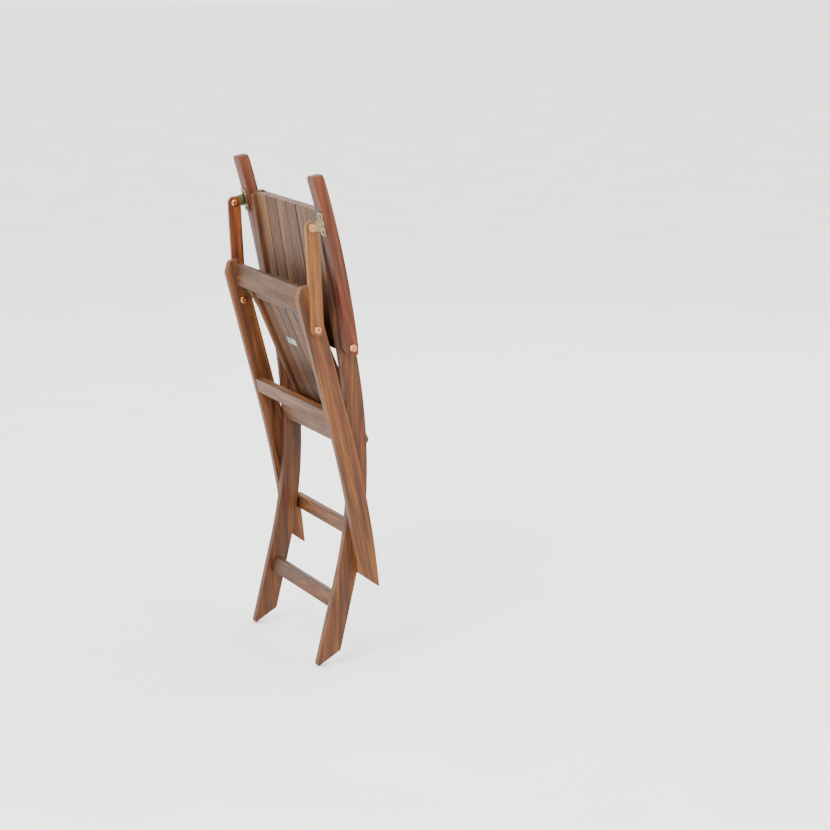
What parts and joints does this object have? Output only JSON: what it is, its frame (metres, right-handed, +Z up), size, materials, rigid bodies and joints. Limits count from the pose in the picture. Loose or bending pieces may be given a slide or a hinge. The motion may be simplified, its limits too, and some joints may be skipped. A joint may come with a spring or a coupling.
{
  "type": "folding garden armchair",
  "caption": "Folding wooden garden armchair, folded flat: bent leg frames, slatted back and seat, and armrests on struts that all turn with one fold.",
  "frame": {"origin": "middle of the bottom of the folded chair's box, level with the toes of the front feet", "axes": "+Z up along the folded chair, +X to the sitter's left, the sitter faces -Y"},
  "size_m": [0.5586, 0.1986, 1.1353],
  "materials": {
    "oiled_acacia": "oiled hardwood, planed and sanded, with reddish streaks",
    "light_acacia": "oiled hardwood, paler sapwood board",
    "zinc_steel": "yellow zinc plating",
    "copper_plated_steel": "bright copper-coloured plating, domed heads",
    "label_plate": "plain satin plate"
  },
  "bodies": {
    "back_frame": {"back_leg_left": "oiled_acacia", "guide_pin_left": "zinc_steel", "seat_pivot_pin_left": "zinc_steel", "arm_pivot_bolt_left": "copper_plated_steel", "arm_washer_left": "zinc_steel", "back_leg_right": "oiled_acacia", "guide_pin_right": "zinc_steel", "seat_pivot_pin_right": "zinc_steel", "arm_pivot_bolt_right": "copper_plated_steel", "arm_washer_right": "zinc_steel", "back_top_rail": "oiled_acacia", "back_lower_rail": "oiled_acacia", "front_stretcher": "oiled_acacia", "back_slat_1": "oiled_acacia", "back_slat_2": "oiled_acacia", "back_slat_3": "oiled_acacia", "back_slat_4": "oiled_acacia", "back_slat_5": "oiled_acacia", "back_slat_6": "oiled_acacia"},
    "seat": {"seat_rail_left": "oiled_acacia", "seat_rail_right": "oiled_acacia", "seat_front_batten": "oiled_acacia", "seat_rear_batten": "oiled_acacia", "seat_slat_1": "oiled_acacia", "seat_slat_2": "oiled_acacia", "seat_slat_3": "oiled_acacia", "seat_slat_4": "oiled_acacia", "seat_slat_5": "oiled_acacia", "seat_slat_6": "oiled_acacia", "seat_label": "label_plate"},
    "rear_frame": {"rear_leg_left": "oiled_acacia", "seat_hinge_pin_left": "zinc_steel", "hinge_spacer_left": "zinc_steel", "rear_leg_right": "oiled_acacia", "seat_hinge_pin_right": "zinc_steel", "hinge_spacer_right": "zinc_steel", "rear_top_rail": "oiled_acacia", "rear_middle_rail": "oiled_acacia", "rear_low_rail": "oiled_acacia"},
    "arm_left": {"armrest_left": "oiled_acacia", "arm_bracket_left": "zinc_steel", "bracket_screw_front_left": "zinc_steel", "bracket_screw_rear_left": "zinc_steel"},
    "strut_left": {"strut_left": "light_acacia", "strut_top_bolt_left": "copper_plated_steel", "strut_top_cap_left": "copper_plated_steel", "strut_foot_bolt_left": "copper_plated_steel", "strut_foot_cap_left": "copper_plated_steel"},
    "arm_right": {"armrest_right": "oiled_acacia", "arm_bracket_right": "zinc_steel", "bracket_screw_front_right": "zinc_steel", "bracket_screw_rear_right": "zinc_steel"},
    "strut_right": {"strut_right": "light_acacia", "strut_top_bolt_right": "copper_plated_steel", "strut_top_cap_right": "copper_plated_steel", "strut_foot_bolt_right": "copper_plated_steel", "strut_foot_cap_right": "copper_plated_steel"}
  },
  "joints": [
    {"name": "seat_fold", "type": "hinge", "parent": "back_frame", "child": "seat", "pos_m": [0, 0.04192, 0.53369], "axis": [1, 0, 0], "range_deg": [0, 98.7]},
    {"name": "rear_frame_fold", "type": "hinge", "parent": "seat", "child": "rear_frame", "pos_m": [0, -0.05018, 0.81428], "axis": [1, 0, 0], "range_deg": [-31.22, 0]},
    {"name": "arm_left_lift", "type": "hinge", "parent": "back_frame", "child": "arm_left", "pos_m": [0.25225, 0.02481, 0.74304], "axis": [1, 0, 0], "range_deg": [0, 98.04]},
    {"name": "strut_left_turn", "type": "hinge", "parent": "arm_left", "child": "strut_left", "pos_m": [0.26465, -0.07023, 1.01801], "axis": [1, 0, 0], "range_deg": [-92.58, 0]},
    {"name": "arm_right_lift", "type": "hinge", "parent": "back_frame", "child": "arm_right", "pos_m": [-0.25225, 0.02481, 0.74304], "axis": [1, 0, 0], "range_deg": [0, 98.04]},
    {"name": "strut_right_turn", "type": "hinge", "parent": "arm_right", "child": "strut_right", "pos_m": [-0.26465, -0.07023, 1.01801], "axis": [1, 0, 0], "range_deg": [-92.58, 0]}
  ],
  "couplings": [
    {"joint": "rear_frame_fold", "follows": "seat_fold", "ratio": -0.3161},
    {"joint": "arm_left_lift", "follows": "seat_fold", "ratio": 0.9931},
    {"joint": "strut_left_turn", "follows": "seat_fold", "ratio": -0.93777},
    {"joint": "arm_right_lift", "follows": "seat_fold", "ratio": 0.9931},
    {"joint": "strut_right_turn", "follows": "seat_fold", "ratio": -0.93777}
  ]
}
